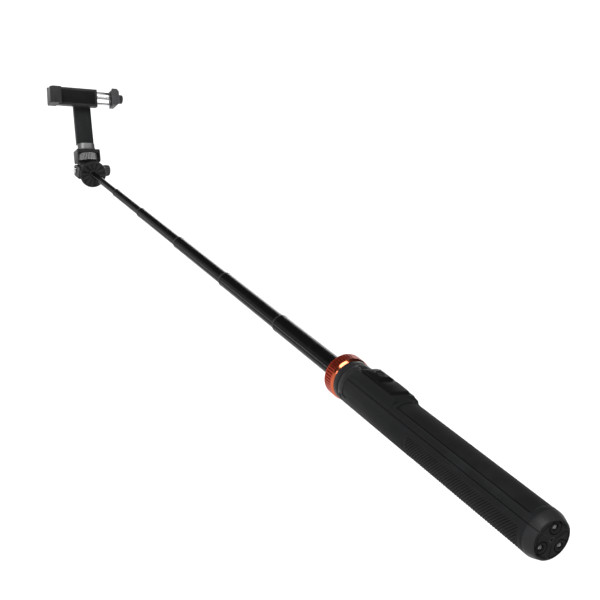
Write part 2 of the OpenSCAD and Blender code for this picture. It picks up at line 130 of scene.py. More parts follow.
def make_camera(place, forward, up, lens):
    """A camera at place that looks along forward, with up towards the top of the picture."""
    forward, up = np.array(forward, float), np.array(up, float)
    right = np.cross(forward, up)
    rows = np.eye(4)
    rows[:3, 0] = right / np.linalg.norm(right)
    rows[:3, 2] = -forward / np.linalg.norm(forward)
    rows[:3, 1] = np.cross(rows[:3, 2], rows[:3, 0])
    rows[:3, 3] = place
    data = bpy.data.cameras.new("camera")
    data.lens = lens
    data.sensor_width = SENSOR_MM
    data.clip_start = 0.01
    data.clip_end = 50.0
    camera = bpy.data.objects.new("camera", data)
    camera.matrix_world = Matrix(rows)
    bpy.context.scene.collection.objects.link(camera)
    bpy.context.scene.camera = camera


make_camera(CAMERA_PLACE, CAMERA_FORWARD, CAMERA_UP, LENS_MM)
print(f"camera: {LENS_MM:.0f} mm lens, behind and to the left of the butt end")


# %% Light and surroundings
SKY_STRENGTH = 0.05
SUN_TOWARD = (0.3, -0.35, -0.9)
SUN_POWER = 3.9
SUN_WIDTH = 40
LAMPS = {
    "horizon": {"place": (5.3, -2.7, 0.85), "target": (0.5, 0, 0), "width": 2.2, "power": 42},
    "front": {"place": (-0.5, 1.3, 0.5), "target": (0.3, 0, 0), "width": 0.5, "power": 4},
    "foot": {"place": (-1.4, 0.4, 0.5), "target": (0, 0, 0), "width": 0.25, "power": 7},
}


def add_light(name, kind, power, back, place=(0, 0, 0)):
    """A light at place that shines away from back. It isn't seen itself."""
    back = np.array(back, float) / np.linalg.norm(back)
    right = np.cross((0, 0, 1), back)
    right /= np.linalg.norm(right)
    rows = np.eye(4)
    rows[:3, 0], rows[:3, 1], rows[:3, 2], rows[:3, 3] = right, np.cross(back, right), back, place
    data = bpy.data.lights.new(name, kind)
    data.energy = power
    light = bpy.data.objects.new(name, data)
    light.matrix_world = Matrix(rows)
    light.visible_camera = False
    bpy.context.scene.collection.objects.link(light)
    return data


def make_sun(toward, power, width):
    """A sun that shines along toward. width is how wide it looks, in degrees."""
    data = add_light("top", "SUN", power, -np.array(toward))
    data.angle = math.radians(width)


def make_lamp(name, place, target, width, power):
    """A round lamp, width metres across, at place and aimed at target."""
    data = add_light(name, "AREA", power, np.subtract(place, target), place)
    data.shape = "DISK"
    data.size = width


def make_world(strength):
    world = bpy.data.worlds.new("studio")
    world.use_nodes = True
    background = world.node_tree.nodes["Background"]
    background.inputs["Color"].default_value = (1, 1, 1, 1)
    background.inputs["Strength"].default_value = strength
    bpy.context.scene.world = world


make_world(SKY_STRENGTH)
make_sun(SUN_TOWARD, SUN_POWER, SUN_WIDTH)
for name, settings in LAMPS.items():
    make_lamp(name, **settings)
bpy.context.scene.view_settings.view_transform = "Standard"
print("light: a wide soft sun, a faint sky and", len(LAMPS), "lamps")

# %% [markdown]
# ## A small language for materials
# A finish is a little sum: some noise, a mask, a colour. One class wraps a socket so that sums are written
# as sums, and one method makes any other node. Constants stay on the shader's own sockets.


# %% Shader arithmetic
class Wire:
    """An output socket that Python's operators work on: each adds a Math node."""

    def __init__(self, paint, socket):
        self.paint = paint
        self.socket = socket

    def math(self, operation, *others):
        return self.paint.node("ShaderNodeMath", {"operation": operation}, dict(enumerate((self, *others))))

    def __add__(self, other):
        return self.math("ADD", other)

    def __sub__(self, other):
        return self.math("SUBTRACT", other)

    def __mul__(self, other):
        return self.math("MULTIPLY", other)

    def __rsub__(self, other):
        return self.paint.node("ShaderNodeMath", {"operation": "SUBTRACT"}, {0: other, 1: self})

    __radd__ = __add__
    __rmul__ = __mul__

    def between(self, low, high):
        """0 below low, 1 above high, and a smooth rise between them."""
        return self.paint.node(
            "ShaderNodeMapRange",
            {"interpolation_type": "SMOOTHSTEP"},
            {"Value": self, "From Min": low, "From Max": high},
        )


class Paint:
    """A material under construction, with its Principled shader."""

    def __init__(self, name, **constants):
        self.material = bpy.data.materials.new(name)
        self.material.use_nodes = True
        self.tree = self.material.node_tree
        self.shader = self.tree.nodes["Principled BSDF"]
        for socket, value in constants.items():
            self.put(self.shader.inputs[socket.replace("_", " ")], value)

    def put(self, socket, value):
        if isinstance(value, Wire):
            self.tree.links.new(value.socket, socket)
        elif isinstance(value, tuple) and len(value) == 3 and socket.type == "RGBA":
            socket.default_value = (*value, 1)
        else:
            socket.default_value = value

    def node(self, kind, settings, sockets, output=0):
        """A node of that kind: its settings, then a value or a Wire for each named or numbered socket."""
        made = self.tree.nodes.new(kind)
        for name, value in settings.items():
            setattr(made, name, value)
        for key, value in sockets.items():
            self.put(made.inputs[key], value)
        return Wire(self, made.outputs[output])

    def here(self):
        """The point on the surface, in the frame's metres."""
        return self.node("ShaderNodeTexCoord", {}, {}, "Object")

    def scaled(self, factors):
        """The point with each coordinate multiplied, to stretch a pattern."""
        return self.node(
            "ShaderNodeVectorMath", {"operation": "MULTIPLY"}, {0: self.here(), 1: tuple(factors)}
        )

    def noise(self, scale, detail=2.0, where=None):
        return self.node(
            "ShaderNodeTexNoise", {}, {"Vector": where or self.here(), "Scale": scale, "Detail": detail}
        )

    def cells(self, scale):
        return self.node("ShaderNodeTexVoronoi", {}, {"Vector": self.here(), "Scale": scale})

    def own(self, name):
        """A number that the piece carries at each point, such as how deep it is in a groove."""
        return self.node("ShaderNodeAttribute", {"attribute_name": name}, {}, "Fac")

    def blend(self, amount, color_a, color_b):
        return self.node(
            "ShaderNodeMix", {"data_type": "RGBA"}, {0: amount, 6: color_a, 7: color_b}, 2
        )

    def bump(self, height, depth):
        return self.node("ShaderNodeBump", {}, {"Height": height, "Distance": depth, "Strength": 1.0})

    def done(self, **wires):
        for socket, value in wires.items():
            self.put(self.shader.inputs[socket.replace("_", " ")], value)
        return self.material


# %% [markdown]
# ## The finishes
# Moulded plastic has a fine spark-eroded grain and a slightly uneven gloss. Rubber is duller, and shade is
# painted into its grooves. The tubes are drawn, so faint lines run lengthwise under their black anodising. The
# ring is orange anodised, and the chamfer cut on its back edge is paler and glossier. An image could carry these
# marks, but noise in the shader has no seams and stays sharp close up. Where a piece is grooved or cut, it
# carries a number at each point, one for its grooves and one for its cut, that the finish reads. The groove
# number paints shade into grooves and pockets, and on a tube it paints a pale highlight along the keyway.


# %% Plastics and rubber
def moulded(name, color, rough, grain_mm=0.35, grain_depth=0.02, pale=1.6, gloss=0.16):
    """Textured plastic. Noise of about grain_mm makes a grain that is grain_depth mm deep, and broad noise
    makes the handling marks, pale times as bright. Where the piece says that it is deep, shade is painted in,
    so its grooves and pockets are darker."""
    paint = Paint(name, Specular_IOR_Level=gloss)
    wear = paint.noise(38.0, 4.0).between(0.42, 0.72)
    fine = paint.noise(1.0 / (grain_mm * MM), 3.0)
    speck = paint.noise(2600.0, 1.0).between(0.62, 0.8)
    worn = tuple(channel * pale for channel in color)
    tint = paint.blend(wear * 0.5 + speck * 0.35, color, worn)
    # Painted shade: darker where the piece marks a groove or a pocket.
    tint = paint.blend(paint.own("painted_light") * 0.9, tint, tuple(channel * 0.15 for channel in color))
    roughness = fine * 0.12 + wear * 0.08 + (rough - 0.1)
    return paint.done(Base_Color=tint, Roughness=roughness, Normal=paint.bump(fine, grain_depth * MM))


def rubber(name, color, rough, gloss):
    """Rubber: dull, with a faint bloom, and with shade painted in where the piece says that it is deep, so its
    grooves are darker.
    """
    paint = Paint(name, Specular_IOR_Level=gloss)
    bloom = paint.noise(55.0, 5.0).between(0.4, 0.75)
    fine = paint.noise(2200.0, 2.0)
    painted_light = paint.own("painted_light")
    shade = paint.blend(bloom * 0.6, color, tuple(c * 1.5 for c in color))
    # Painted shade: darker in the grooves.
    shade = paint.blend(painted_light * 0.92, shade, tuple(c * 0.12 for c in color))
    roughness = fine * 0.1 + painted_light * 0.12 + (rough - 0.05)
    return paint.done(Base_Color=shade, Roughness=roughness, Normal=paint.bump(fine, 0.015 * MM))


# %% Metals
BARE_METAL = (0.25, 0.25, 0.26)


def anodised_tube(name, color, key_highlight_color, rough):
    """Gloss black tube: noise stretched along x makes lengthwise lines in the gloss. A pale line is painted along
    one edge of the keyway as a highlight, and the cut end of the tube is bare metal."""
    paint = Paint(name, Specular_IOR_Level=0.04)
    lines = paint.noise(1.0, 3.0, paint.scaled((9, 2600, 2600)))
    marks = paint.noise(60.0, 4.0).between(0.5, 0.8)
    # Painted highlight: a pale line along the keyway's edge, where the wall would catch the light.
    key = paint.own("painted_light") * (lines * 0.5 + 0.75)
    rim = paint.own("cut")
    tint = paint.blend(rim, paint.blend(key, color, key_highlight_color), BARE_METAL)
    roughness = lines * 0.1 + marks * 0.1 + key * 0.2 + (rough - 0.05)
    bump = paint.bump(lines, 0.003 * MM)
    return paint.done(Base_Color=tint, Roughness=roughness, Metallic=rim, Normal=bump)


def dyed_metal(name, color, cut_color):
    """Anodised aluminium: shade is painted into its grooves, which are darker, and a cut edge is paler and
    glossier.
    """
    paint = Paint(name)
    cut = paint.own("cut")
    painted_light = paint.own("painted_light")
    flow = paint.noise(90.0, 4.0)
    fine = paint.noise(1.0, 2.0, paint.scaled((300, 2400, 2400)))
    dyed = paint.blend(flow.between(0.3, 0.7) * 0.5, color, tuple(c * 0.72 for c in color))
    # Painted shade in the flutes.
    dyed = paint.blend(painted_light * 0.85, dyed, tuple(c * 0.25 for c in color))
    tint = paint.blend(cut, dyed, cut_color)
    roughness = fine * 0.12 + (1 - cut) * 0.14 + 0.1
    return paint.done(
        Base_Color=tint, Roughness=roughness, Metallic=0.92 + cut * 0.08, Normal=paint.bump(fine, 0.004 * MM)
    )


def plain_metal(name, color, rough, lines=700.0):
    """Turned or brushed metal: fine noise in the gloss, and shade painted into its grooves, which are darker."""
    paint = Paint(name, Metallic=1.0)
    brush = paint.noise(lines, 4.0)
    stain = paint.noise(120.0, 3.0).between(0.45, 0.8)
    painted_light = paint.own("painted_light")
    tint = paint.blend(stain * 0.4, color, tuple(c * 0.75 for c in color))
    # Painted shade in the grooves and threads.
    tint = paint.blend(painted_light * 0.8, tint, tuple(c * 0.2 for c in color))
    roughness = brush * 0.16 + painted_light * 0.15 + (rough - 0.08)
    return paint.done(Base_Color=tint, Roughness=roughness, Normal=paint.bump(brush, 0.004 * MM))


def solder_mask(name):
    """A circuit board: green lacquer with copper lines just under it."""
    paint = Paint(name, Specular_IOR_Level=0.6)
    track = paint.cells(420.0).between(0.25, 0.32)
    tint = paint.blend(track, (0.01, 0.09, 0.03), (0.04, 0.22, 0.09))
    return paint.done(Base_Color=tint, Roughness=track * 0.1 + 0.25, Normal=paint.bump(track, 0.02 * MM))


# %% The palette
SATIN_GRAIN = {"grain_mm": 0.5, "grain_depth": 0.012}
SHALLOW_GRAIN = {"grain_mm": 0.6, "grain_depth": 0.006, "pale": 1.3}

# Each finish has the name of its slot in the record. After its name come its colour and its roughness.
palette = {
    "collar_black": moulded("collar_black", (0.012, 0.012, 0.013), 0.42, gloss=0.12, **SATIN_GRAIN),
    "dark_aluminium": plain_metal("dark_aluminium", (0.1, 0.1, 0.11), 0.4),
    "inner_black": moulded("inner_black", (0.012, 0.012, 0.012), 0.6),
    "nylon": moulded("nylon", (0.72, 0.7, 0.64), 0.5, grain_mm=0.6, grain_depth=0.01, pale=1.05),
    "orange_anodised": dyed_metal("orange_anodised", (0.42, 0.04, 0.014), (0.5, 0.11, 0.05)),
    "steel": plain_metal("steel", (0.62, 0.62, 0.64), 0.3),
    "screw_black": plain_metal("screw_black", (0.3, 0.3, 0.305), 0.3),
    "leg_black": moulded("leg_black", (0.0092, 0.0096, 0.01), 0.55, gloss=0.04),
    "grip_rubber": rubber("grip_rubber", (0.0118, 0.012, 0.0123), 0.6, gloss=0.04),
    "panel_black": rubber("panel_black", (0.0088, 0.009, 0.0092), 0.62, gloss=0.03),
    "cap_grey": moulded("cap_grey", (0.015, 0.0153, 0.016), 0.42, pale=1.3, gloss=0.08, **SATIN_GRAIN),
    "pad_rubber": rubber("pad_rubber", (0.007, 0.007, 0.0074), 0.6, gloss=0.05),
    "remote_black": moulded("remote_black", (0.008, 0.008, 0.009), 0.5),
    "remote_gloss": moulded("remote_gloss", (0.0055, 0.0055, 0.006), 0.4, gloss=0.02, **SHALLOW_GRAIN),
    "board_green": solder_mask("board_green"),
    "button_black": moulded("button_black", (0.007, 0.007, 0.0075), 0.6, gloss=0.02, **SHALLOW_GRAIN),
    "tube_black": anodised_tube("tube_black", (0.0035, 0.0035, 0.0038), (0.055, 0.055, 0.057), 0.2),
    "head_black": moulded("head_black", (0.012, 0.0125, 0.013), 0.42),
    "bolt_chrome": plain_metal("bolt_chrome", (0.5, 0.5, 0.51), 0.14, lines=200.0),
    "wheel_grey": plain_metal("wheel_grey", (0.26, 0.26, 0.265), 0.42),
    "neck_silver": plain_metal("neck_silver", (0.17, 0.17, 0.172), 0.55, lines=900.0),
    "clamp_black": moulded("clamp_black", (0.02, 0.02, 0.021), 0.42),
    "knob_grey": moulded("knob_grey", (0.04, 0.04, 0.042), 0.42),
}
print("palette:", len(palette), "finishes")

# %% [markdown]
# ## Surfaces from grids
# A turned or swept part is a grid of points: rows along a profile, columns round it. numpy works out the
# whole grid at once. The grid closes round its columns, and its two ends close with a face or by meeting
# each other.


# %% Grid to mesh
def grid_piece(name, points, finish, body, ends="faces", marks=None):
    """A mesh from points[row, column], closed round its columns. ends is faces, or loop where the last row
    meets the first. marks maps an attribute's name to its value at each point. Where the sum of the faces'
    signed volumes is negative they point inwards, and are turned."""
    rows, columns = points.shape[:2]
    index = np.arange(rows * columns).reshape(rows, columns)
    if ends == "loop":
        index = np.vstack([index, index[:1]])
    a, b = index[:-1], index[1:]
    quads = np.stack([a, np.roll(a, -1, 1), np.roll(b, -1, 1), b], -1).reshape(-1, 4)
    flat = points.reshape(-1, 3)
    corners = flat[quads] - flat.mean(0)
    volume = np.einsum("ij,ij->i", corners[:, 0], np.cross(corners[:, 1], corners[:, 2])).sum()
    volume += np.einsum("ij,ij->i", corners[:, 0], np.cross(corners[:, 2], corners[:, 3])).sum()
    faces = quads.tolist()
    if ends == "faces":
        faces += [index[0, ::-1].tolist(), index[-1].tolist()]
    if volume < 0:
        faces = [face[::-1] for face in faces]
    mesh = bpy.data.meshes.new(name)
    mesh.from_pydata(flat.tolist(), [], faces)
    for mark, values in (marks or {}).items():
        layer = mesh.attributes.new(mark, "FLOAT", "POINT")
        layer.data.foreach_set("value", np.broadcast_to(values, (rows, columns)).ravel().astype(np.float32))
    mesh.shade_smooth()
    return settle(name, mesh, finish, body)


def settle(name, mesh, finish, body):
    """Links the mesh as a piece with that finish, riding on that body."""
    piece = bpy.data.objects.new(name, mesh)
    bpy.context.scene.collection.objects.link(piece)
    mesh.materials.clear()
    mesh.materials.append(palette[finish])
    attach(piece, body)
    return piece


def sharpen(piece, degrees=38):
    """Edges that turn by more than that stay crisp."""
    bpy.context.view_layer.objects.active = piece
    piece.data.set_sharp_from_angle(angle=math.radians(degrees))
    return piece


# %% Profiles
LEAST_RADIUS = 0.02


def rounded(corners, radius, steps=4):
    """A line through the corners, each inner corner cut back by radius and joined by a quadratic curve."""
    corners = np.array(corners, float)
    line = [corners[0]]
    for before, here, after in zip(corners[:-2], corners[1:-1], corners[2:]):
        into, out = here - before, after - here
        cut_in = min(radius, 0.45 * np.linalg.norm(into))
        cut_out = min(radius, 0.45 * np.linalg.norm(out))
        start = here - into / np.linalg.norm(into) * cut_in
        end = here + out / np.linalg.norm(out) * cut_out
        t = np.linspace(0, 1, steps + 1)[:, None]
        line.extend((1 - t) ** 2 * start + 2 * t * (1 - t) * here + t**2 * end)
    line.append(corners[-1])
    return np.array(line)


def turned(name, profile, seat, finish, body, columns=96, dent=None, ends="faces", marks=None, center=(0, 0)):
    """A turned part about the seat's x axis. profile holds (along, radius) points. dent(along, angle, radius)
    is taken from the radius, so it cuts knurls and flutes. center is where the axis crosses the seat's y and
    z."""
    angle = np.linspace(0, 2 * math.pi, columns, endpoint=False)[None, :]
    along, radius = profile[:, :1], profile[:, 1:2]
    depth = dent(along, angle, radius) if dent else np.zeros((len(profile), columns))
    reach = np.maximum(radius - depth, LEAST_RADIUS)
    points = np.stack(
        [
            np.broadcast_to(along, reach.shape),
            center[0] + reach * np.cos(angle),
            center[1] + reach * np.sin(angle),
        ],
        -1,
    )
    values = {key: mark(along, angle, depth) for key, mark in (marks or {}).items()}
    return grid_piece(name, seat.place(points), finish, body, ends, values)


def ramp(value, low, high):
    """0 below low, 1 above high, smooth between: 3t^2 - 2t^3."""
    t = np.clip((value - low) / (high - low), 0, 1)
    return t * t * (3 - 2 * t)


# %% [markdown]
# ## Softened housings
# A moulded housing has a small radius on every edge, and that radius is what catches the light. Such a
# shape could be drawn anew from grids, but the frame's solid already has the right faces. So a copy of it
# is merged, its flat triangles are joined, and a Bevel rounds it.


# %% Softened copy
MERGE_WITHIN = 2e-6
FLAT_WITHIN = math.radians(0.6)
ROUND_ABOVE = math.radians(32)


def softened(node, width_mm, finish=None, steps=2):
    """A copy of a CAD node: its points merged, its flat faces joined and its edges rounded by width_mm."""
    mesh = nodes[node].data.copy()
    work = bmesh.new()
    work.from_mesh(mesh)
    bmesh.ops.remove_doubles(work, verts=work.verts, dist=MERGE_WITHIN)
    bmesh.ops.dissolve_limit(
        work, angle_limit=FLAT_WITHIN, verts=work.verts, edges=work.edges, use_dissolve_boundaries=False
    )
    work.to_mesh(mesh)
    work.free()
    piece = settle(node + "_shell", mesh, finish or slot_of[node], body_of[node])
    mesh.shade_smooth()
    bevel = piece.modifiers.new("edges", "BEVEL")
    bevel.width = width_mm * MM
    bevel.segments = steps
    bevel.limit_method = "ANGLE"
    bevel.angle_limit = ROUND_ABOVE
    bevel.harden_normals = True
    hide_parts(node)
    return piece


# %% [markdown]
# ## The telescope
# Each tube has a keyway rolled into its wall, which stops it turning in the next one. The keyway could be
# cut from a cylinder, but here it is part of the radius, so the mesh has points just where the wall bends.
# The mouth of a tube is cut square and its rim is left bright. A thin black gland over the mouth keeps grit
# out.

# %% Keyed tubes
KEY_WIDTH = 1.6
KEY_DEPTH = 0.28
WALL = 0.5
RIM = 0.12
TUBES = 6


def keyed_tube(number):
    """Radius r(angle) = r0 - depth * s(angle), where s is 1 across the keyway and falls to 0 over 0.15 mm."""
    low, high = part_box(f"tube_{number}")
    start, end = low.x / MM, high.x / MM
    outer = (high.z - low.z) / 2 / MM
    edge = (KEY_WIDTH / 2 + 0.3) / outer
    keyway = np.linspace(-edge, edge, 15)[:-1]
    wall = np.linspace(edge, 2 * math.pi - edge, 97)[:-1]
    angle = np.concatenate([keyway, wall])
    side = ((angle + math.pi) % (2 * math.pi) - math.pi) * outer
    across = np.abs(side)
    # A painted highlight along one edge of the keyway, where the bent wall would catch the light.
    painted_key_highlight = ramp(side, -0.2, -0.05) * (1 - ramp(side, 0.6, 0.8))
    key = 1 - ramp(across, KEY_WIDTH / 2 - 0.08, KEY_WIDTH / 2 + 0.07)
    rows = [
        (start, 0), (end - 3, 0), (end - RIM, 0), (end, RIM),
        (end, WALL - RIM / 2), (end - RIM, WALL), (end - 30, WALL), (start, WALL),
    ]
    along = np.array([row[0] for row in rows])[:, None]
    inset = np.array([row[1] for row in rows])[:, None]
    radius = outer - inset - KEY_DEPTH * key[None, :]
    y, z = radius * np.cos(angle), radius * np.sin(angle)
    points = np.stack([np.broadcast_to(along, radius.shape), y, z], -1)
    cut = ramp(along, end - 0.2, end - 0.02) * (inset < WALL) * (inset > 0)
    marks = {"painted_light": painted_key_highlight[None, :] * (inset < 0.01), "cut": cut}
    piece = grid_piece(
        f"keyed_tube_{number}", stick.place(points), "tube_black", f"section_{number}", "loop", marks
    )
    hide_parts(f"tube_{number}")
    return sharpen(piece, 30)


def gland(number):
    """A thin ring over the mouth of a tube, with a rounded lip round the next tube."""
    outer = (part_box(f"tube_{number}")[1].z) / MM
    inner = (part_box(f"tube_{number + 1}")[1].z) / MM + 0.07
    end = span(f"tube_{number}")[1]
    low, high = outer - 0.02, outer + 0.16
    lip = end + 0.5
    profile = rounded(
        [
            (end - 1.9, low), (end - 1.8, high), (end + 0.3, high), (lip, inner + 0.3), (lip, inner),
            (end + 0.15, inner), (end + 0.1, low),
        ],
        0.12,
    )
    return turned(f"gland_{number}", profile, stick, "head_black", f"section_{number}", 72, ends="loop")


for number in range(1, TUBES + 1):
    keyed_tube(number)
for number in range(1, TUBES):
    gland(number)
print("telescope:", TUBES, "keyed tubes and", TUBES - 1, "glands")

# %% [markdown]
# ## The lock ring
# Turning this ring squeezes the collet on the tube. Straight flutes give the fingers hold, and its back
# edge is a pale cut chamfer. It is the one splash of colour on the stick. The flutes are taken from the
# radius of a turned profile, so each one fades out at both ends.

# %% Lock ring
RING_GROOVES = 48
FLUTE_DEPTH = 0.7


def lock_ring():
    """Radius = profile - FLUTE_DEPTH * g, where g is a narrow pulse repeated RING_GROOVES times round the
    band between the two edges."""
    start, end = span("lock_ring")
    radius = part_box("lock_ring")[1].z / MM
    inner = 14.45
    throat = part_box("tube_1")[1].z / MM + 0.5
    profile = rounded(
        [
            (end, throat), (end, radius - 0.9), (end - 0.9, radius), (start + 2.3, radius),
            (start, radius - 1.5), (start, inner), (end - 2, inner), (end - 2, throat), (end - 0.2, throat),
        ],
        0.35,
        3,
    )
    extra = np.linspace(end - 1.4, start + 2.8, 14)[:, None]
    where = int(np.argmax(profile[:, 0] < end - 1.3))
    profile = np.vstack([profile[:where], np.hstack([extra, np.full_like(extra, radius)]), profile[where:]])

    def grooves(along, angle, reach):
        pulse = ramp(np.cos(angle * RING_GROOVES), 0.45, 0.98)
        band = ramp(along, start + 2.6, start + 3.2) * (1 - ramp(along, end - 1.5, end - 0.9))
        return FLUTE_DEPTH * pulse * band * (reach > inner + 1)

    def chamfer(along, angle, depth):
        return (along < start + 2.4) * (along > start - 0.1) * np.ones_like(depth)

    # The flutes carry painted shade, darkest at their bottoms.
    piece = turned(
        "ring_knurled", profile, stick, "orange_anodised", "ring", RING_GROOVES * 8, grooves, "loop",
        {"painted_light": lambda along, angle, depth: depth / FLUTE_DEPTH, "cut": chamfer},
    )
    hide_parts("lock_ring")
    return sharpen(piece, 40)


lock_ring()
print("lock ring:", RING_GROOVES, "grooves")

# %% [markdown]
# ## The legs
# The handle is three long shells that close round the guide tube. Two of them carry a rubber inlay with
# fine diagonal ribs; the third has a smooth panel and the dock. The ribs could be a bump in the shader, but
# real grooves stay in the mesh. So the inlay is a sector swept along the leg, and its outer radius dips in
# grooves that climb at 45 degrees.

# %% Inlays
RIB_PITCH = 2.67
RIB_DEPTH = 0.34
INLAY_DEPTH = 0.97
GRIP_HALF_DEGREES = 47.7
PANEL_HALF_DEGREES = 39.8
shell_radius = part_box("collar")[1].z / MM


def inlay(letter, half_degrees, outer, finish, rib_depth, groove):
    """Outer radius = R - depth * (1/2 + 1/2 cos(2 pi (x + R a) / pitch))^2, faded to nothing near the edges.
    x + R a is the same along a line that climbs at 45 degrees. A groove of the given depth runs round the
    edge."""
    node = f"grip_{letter}"
    start, end = span(node)
    inner = shell_radius - INLAY_DEPTH
    half = math.radians(half_degrees)
    across_steps = 81 if rib_depth else 41
    step = 0.33 if rib_depth else 1.5
    middle = np.linspace(start + 1.5, end - 1.5, int((end - start) / step))
    ends = np.array([0.05, 0.35, 0.65, 0.95])
    along = np.concatenate([start + ends, middle, end - ends[::-1]])[:, None]
    sweep = np.linspace(-half + 0.09, half - 0.09, across_steps)
    side = np.array([0.0, 0.018, 0.036, 0.054])
    back = np.linspace(half, -half, 9)
    across = np.concatenate([-half + side, sweep, half - side[::-1], back])[None, :]
    face = np.concatenate([np.ones(across_steps + 8), np.zeros(9)])[None, :]
    fade = 1 - ramp(np.abs(across), half - 0.1, half - 0.05)
    fade = fade * ramp(along, start + 0.9, start + 1.9) * (1 - ramp(along, end - 3.2, end - 2.2))
    wave = (0.5 + 0.5 * np.cos(2 * math.pi * (along + outer * across) / RIB_PITCH)) ** 2
    wave = wave * fade if rib_depth else 0 * fade
    edge = np.maximum(ramp(np.abs(across), half - 0.05, half - 0.015), ramp(along, end - 0.8, end - 0.3))
    edge = np.maximum(edge, 1 - ramp(along, start + 0.3, start + 0.8))
    radius = np.where(face > 0, outer - rib_depth * wave - groove * edge, inner)
    points = np.stack(
        [np.broadcast_to(along, radius.shape), radius * np.cos(across), radius * np.sin(across)], -1
    )
    # Painted shade: darker in the rib grooves and in the groove round the edge.
    deep = np.maximum(wave, edge * min(1, groove * 2)) * face
    piece = grid_piece(
        f"inlay_{letter}", leg_seat(letter).place(points), finish, f"leg_{letter}_body", "faces",
        {"painted_light": deep},
    )
    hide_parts(node)
    return sharpen(piece, 60)


for letter in "ac":
    inlay(letter, GRIP_HALF_DEGREES, shell_radius - 0.03, "grip_rubber", RIB_DEPTH, groove=0.12)
panel_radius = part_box("grip_b")[1].z / MM - 0.02
inlay("b", PANEL_HALF_DEGREES, panel_radius, "panel_black", rib_depth=0, groove=0.5)


# %% Foot pads and screws
PAD_RADIUS = 13.4
PAD_INNER = 2.4
PAD_BACK = 0.7
SCREW_AT = 9.0
SCREW_HOLE = 2.4


def foot_pad(letter):
    """A pad drawn in polar steps round its screw: each ray runs from the hole to the pad's outline. The face
    dips by 0.7 exp(-((d - 4.5) / 0.4)^2) in a groove round the screw, and by less just inside the rim."""
    seat = leg_seat(letter)
    turn = np.linspace(0, 2 * math.pi, 144, endpoint=False)
    steps = np.linspace(2.5, 14, 600)[:, None]
    y, z = SCREW_AT + steps * np.cos(turn), steps * np.sin(turn)
    slope = math.radians(60)
    inside = (np.hypot(y, z) < PAD_RADIUS) & (np.hypot(y, z) > PAD_INNER)
    inside &= y * math.sin(slope) - np.abs(z) * math.cos(slope) > PAD_BACK
    reach = np.where(inside, steps, 0).max(0)
    reach = sum(np.roll(reach, shift) for shift in (-2, -1, 0, 1, 2)) / 5
    reach = np.minimum(reach, np.where(inside, steps, 0).max(0))
    t = np.linspace(0, 1, 26)[:, None]
    distance = 2.7 + t * (reach - 0.3 - 2.7)
    rim = np.hypot(SCREW_AT + distance * np.cos(turn), distance * np.sin(turn))
    dip = 0.7 * np.exp(-(((distance - 4.5) / 0.4) ** 2)) + 0.5 * np.exp(-(((rim - 12.2) / 0.35) ** 2))
    hole, edge, back = (np.full_like(turn, value) for value in (SCREW_HOLE, 0.3, 1.9))
    flat = np.zeros_like(turn)
    around = np.vstack([hole, hole, distance, reach, reach])
    level = np.vstack([back, edge, dip, edge, back])
    # Painted shade, darkest in the groove round the screw.
    deep = np.vstack([flat, flat, np.clip(dip / 0.6, 0, 1), flat, flat])
    points = np.stack([level, SCREW_AT + around * np.cos(turn), around * np.sin(turn)], -1)
    piece = grid_piece(
        f"relief_pad_{letter}", seat.place(points), "pad_rubber", f"leg_{letter}_body", "loop",
        {"painted_light": deep},
    )
    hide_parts(f"foot_pad_{letter}")
    return sharpen(piece, 50)


def foot_screw(letter):
    """A domed screw in its hole, with a six-lobed socket."""
    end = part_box(f"foot_screw_{letter}")[1].x / MM
    profile = [
        (end, 0.1), (end, 1), (3.5, 1), (3.5, 2.05), (2.3, 2.05), (1.6, 1.7), (1.2, 1.15), (1.2, 0.9),
        (2.2, 0.75), (2.2, 0.1),
    ]

    def socket(along, angle, radius):
        return (radius < 0.8) * (along < 2.6) * 0.12 * (1 + np.cos(6 * angle))

    piece = turned(
        f"domed_screw_{letter}", rounded(profile, 0.25, 2), leg_seat(letter), "screw_black",
        f"leg_{letter}_body", 48, socket, center=(SCREW_AT, 0),
    )
    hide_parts(f"foot_screw_{letter}")
    return sharpen(piece, 40)


for node in ("leg_a", "leg_b", "leg_c"):
    softened(node, 0.45)
softened("collar", 0.4)
for letter in "abc":
    softened(f"foot_cap_{letter}", 0.3, steps=3)
    foot_pad(letter)
    foot_screw(letter)
print("handle: ribbed inlays, shells, caps and pads")

# %% [markdown]
# ## The remote
# A slim remote sits in the dock on the top leg. Its cover is one moulding with a finger notch across it, so
# a softened copy of the frame's solid is enough. Its round button is turned, and dished so that a fingertip
# finds it.

# %% Remote
softened("remote_cover", 0.45, steps=3)
softened("remote_base", 0.4)


def dished_button():
    """A turned disc whose face sinks as 0.35 mm times (1 - (r/R)^2)."""
    low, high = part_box("shutter_button")
    seat = Seat(((low.x + high.x) / 2, (low.y + high.y) / 2, 0), (0, 0, 1), (1, 0, 0))
    radius = (high.x - low.x) / 2 / MM
    top = high.z / MM
    t = np.linspace(1, 0.02, 9)
    face = np.stack([top - 0.35 * (1 - t**2), t * (radius - 0.5)], -1)
    side = rounded([(top - 1.8, radius - 0.1), (top - 0.05, radius), (top, radius - 0.5)], 0.3)
    profile = np.vstack([[(low.z / MM, 1.1)], [(top - 1.8, 1.2)], side, face])
    piece = turned("dished_button", profile, seat, slot_of["shutter_button"], "shutter", 64)
    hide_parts("shutter_button")
    return sharpen(piece, 40)


dished_button()
print("remote: cover, base and button")

# %% [markdown]
# ## The head
# The stick ends in a round cap with a fork. The cap's face towards the handle is cored out and stiffened
# with spokes, as a moulding of even wall thickness has to be. They are a height over that face, worked out
# from the radius and the angle. The knob that locks the tilt is fluted and tapers to its face.

# %% Cap with spokes
SPOKES = 12


